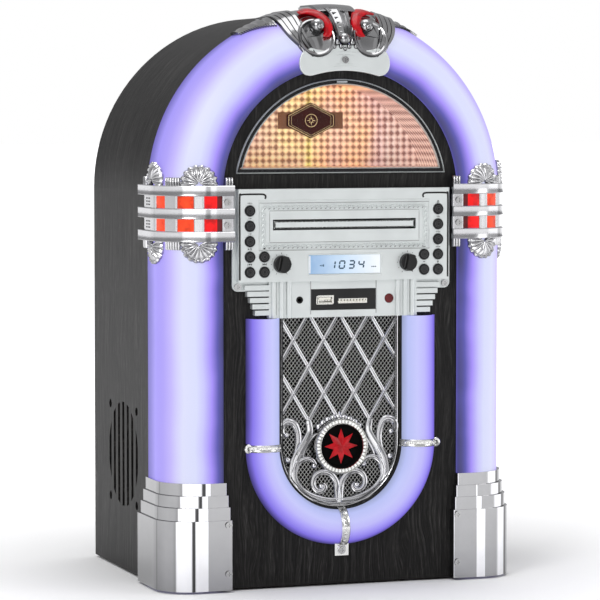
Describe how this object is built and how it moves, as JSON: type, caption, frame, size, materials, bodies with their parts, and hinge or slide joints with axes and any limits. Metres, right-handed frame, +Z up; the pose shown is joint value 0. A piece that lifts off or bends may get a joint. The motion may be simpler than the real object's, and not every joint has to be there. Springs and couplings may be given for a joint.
{
  "type": "tabletop jukebox",
  "caption": "Arch-topped tabletop jukebox with glowing corner tubes, chrome collars and crown, a CD drawer, push buttons, rotary knobs and a U-framed grille.",
  "frame": {"origin": "centre of the whole object's footprint box, on the surface it stands on", "axes": "+X to the object's right seen from the front, +Y from the front to the back, +Z up"},
  "size_m": [0.322, 0.252, 0.4975],
  "materials": {
    "black_ash_vinyl": "satin, vertical ash grain",
    "black_board": "satin",
    "raw_board": "matt",
    "zinc_screw": "polished",
    "black_rubber": "matt",
    "white_plastic": "matt",
    "led_white": "gloss",
    "glowing_tube": "frosted, lit from inside",
    "chrome_plating": "polished",
    "red_lens": "gloss, translucent",
    "clear_acrylic": "polished",
    "dotted_foil": "embossed metallic foil",
    "brown_emblem": "gloss",
    "silver_plastic": "satin",
    "circuit_board": "matt",
    "lit_display": "lit liquid crystal",
    "black_plastic": "satin",
    "bright_tin": "bright",
    "dark_red_plastic": "gloss",
    "grey_steel": "satin",
    "black_gloss": "semi-gloss",
    "silver_filigree": "bright, antique",
    "black_mesh": "satin",
    "speaker_black": "satin"
  },
  "bodies": {
    "cabinet": {"cabinet_shell": "black_ash_vinyl", "base_board": "raw_board", "front_baffle": "black_ash_vinyl", "back_panel": "black_board", "screws": "zinc_screw", "foot_pads": "black_rubber", "light_channel": "white_plastic", "led_strips": "led_white", "arch_tube": "glowing_tube", "pillar_tube_left": "glowing_tube", "pillar_tube_right": "glowing_tube", "u_tube": "glowing_tube", "tube_clips": "chrome_plating", "collar_left": "chrome_plating", "collar_right": "chrome_plating", "collar_lenses": "red_lens", "foot_left": "chrome_plating", "foot_right": "chrome_plating", "crown_casting": "chrome_plating", "crown_lenses": "red_lens", "dome_trim": "chrome_plating", "dome_window": "clear_acrylic", "dome_reflector": "dotted_foil", "badge": "brown_emblem", "control_panel": "silver_plastic", "control_board": "circuit_board", "lcd_window": "lit_display", "media_insert": "black_plastic", "media_board": "bright_tin", "aux_jack": "black_plastic", "ir_window": "dark_red_plastic", "cd_loader": "grey_steel", "grille_frame": "silver_filigree", "grille_mesh": "black_mesh", "medallion_bezel": "silver_filigree", "star_gem": "red_lens", "speaker_left": "speaker_black", "speaker_right": "speaker_black", "main_board": "circuit_board", "transformer": "grey_steel", "mains_inlet": "black_plastic"},
    "cd_drawer": {"cd_tray": "black_plastic", "tray_front": "silver_plastic"},
    "disc_spindle": {"cd_spindle": "black_plastic"},
    "power_knob_body": {"power_knob": "black_gloss"},
    "light_knob_body": {"light_knob": "black_gloss"},
    "eq_button_body": {"eq_button": "black_gloss"},
    "folder_button_body": {"folder_button": "black_gloss"},
    "repeat_button_body": {"repeat_button": "black_gloss"},
    "play_button_body": {"play_button": "black_gloss"},
    "previous_button_body": {"previous_button": "black_gloss"},
    "stop_button_body": {"stop_button": "black_gloss"},
    "next_button_body": {"next_button": "black_gloss"},
    "eject_button_body": {"eject_button": "black_gloss"},
    "band_button_body": {"band_button": "black_gloss"},
    "clock_button_body": {"clock_button": "black_gloss"},
    "mode_button_body": {"mode_button": "black_gloss"},
    "volume_up_button_body": {"volume_up_button": "black_gloss"},
    "standby_button_body": {"standby_button": "black_gloss"},
    "volume_down_button_body": {"volume_down_button": "black_gloss"}
  },
  "joints": [
    {"name": "cd_drawer_slide", "type": "slide", "parent": "cabinet", "child": "cd_drawer", "axis": [0, -1, 0], "range_m": [0, 0.133]},
    {"name": "disc_spindle_spin", "type": "hinge", "parent": "cabinet", "child": "disc_spindle", "pos_m": [0, -0.0446, 0.31], "axis": [0, 0, 1], "continuous": true},
    {"name": "power_knob_turn", "type": "hinge", "parent": "cabinet", "child": "power_knob_body", "pos_m": [-0.0569, -0.1166, 0.2768], "axis": [0, 1, 0], "range_deg": [-150, 150]},
    {"name": "light_knob_turn", "type": "hinge", "parent": "cabinet", "child": "light_knob_body", "pos_m": [0.0569, -0.1166, 0.2768], "axis": [0, 1, 0], "range_deg": [-150, 150]},
    {"name": "eq_button_press", "type": "slide", "parent": "cabinet", "child": "eq_button_body", "axis": [0, 1, 0], "range_m": [0, 0.001], "stiffness_N_per_m": 600, "springref_m": -0.0005},
    {"name": "folder_button_press", "type": "slide", "parent": "cabinet", "child": "folder_button_body", "axis": [0, 1, 0], "range_m": [0, 0.001], "stiffness_N_per_m": 600, "springref_m": -0.0005},
    {"name": "repeat_button_press", "type": "slide", "parent": "cabinet", "child": "repeat_button_body", "axis": [0, 1, 0], "range_m": [0, 0.001], "stiffness_N_per_m": 600, "springref_m": -0.0005},
    {"name": "play_button_press", "type": "slide", "parent": "cabinet", "child": "play_button_body", "axis": [0, 1, 0], "range_m": [0, 0.001], "stiffness_N_per_m": 600, "springref_m": -0.0005},
    {"name": "previous_button_press", "type": "slide", "parent": "cabinet", "child": "previous_button_body", "axis": [0, 1, 0], "range_m": [0, 0.001], "stiffness_N_per_m": 600, "springref_m": -0.0005},
    {"name": "stop_button_press", "type": "slide", "parent": "cabinet", "child": "stop_button_body", "axis": [0, 1, 0], "range_m": [0, 0.001], "stiffness_N_per_m": 600, "springref_m": -0.0005},
    {"name": "next_button_press", "type": "slide", "parent": "cabinet", "child": "next_button_body", "axis": [0, 1, 0], "range_m": [0, 0.001], "stiffness_N_per_m": 600, "springref_m": -0.0005},
    {"name": "eject_button_press", "type": "slide", "parent": "cabinet", "child": "eject_button_body", "axis": [0, 1, 0], "range_m": [0, 0.001], "stiffness_N_per_m": 600, "springref_m": -0.0005},
    {"name": "band_button_press", "type": "slide", "parent": "cabinet", "child": "band_button_body", "axis": [0, 1, 0], "range_m": [0, 0.001], "stiffness_N_per_m": 600, "springref_m": -0.0005},
    {"name": "clock_button_press", "type": "slide", "parent": "cabinet", "child": "clock_button_body", "axis": [0, 1, 0], "range_m": [0, 0.001], "stiffness_N_per_m": 600, "springref_m": -0.0005},
    {"name": "mode_button_press", "type": "slide", "parent": "cabinet", "child": "mode_button_body", "axis": [0, 1, 0], "range_m": [0, 0.001], "stiffness_N_per_m": 600, "springref_m": -0.0005},
    {"name": "volume_up_button_press", "type": "slide", "parent": "cabinet", "child": "volume_up_button_body", "axis": [0, 1, 0], "range_m": [0, 0.001], "stiffness_N_per_m": 600, "springref_m": -0.0005},
    {"name": "standby_button_press", "type": "slide", "parent": "cabinet", "child": "standby_button_body", "axis": [0, 1, 0], "range_m": [0, 0.001], "stiffness_N_per_m": 600, "springref_m": -0.0005},
    {"name": "volume_down_button_press", "type": "slide", "parent": "cabinet", "child": "volume_down_button_body", "axis": [0, 1, 0], "range_m": [0, 0.001], "stiffness_N_per_m": 600, "springref_m": -0.0005}
  ]
}
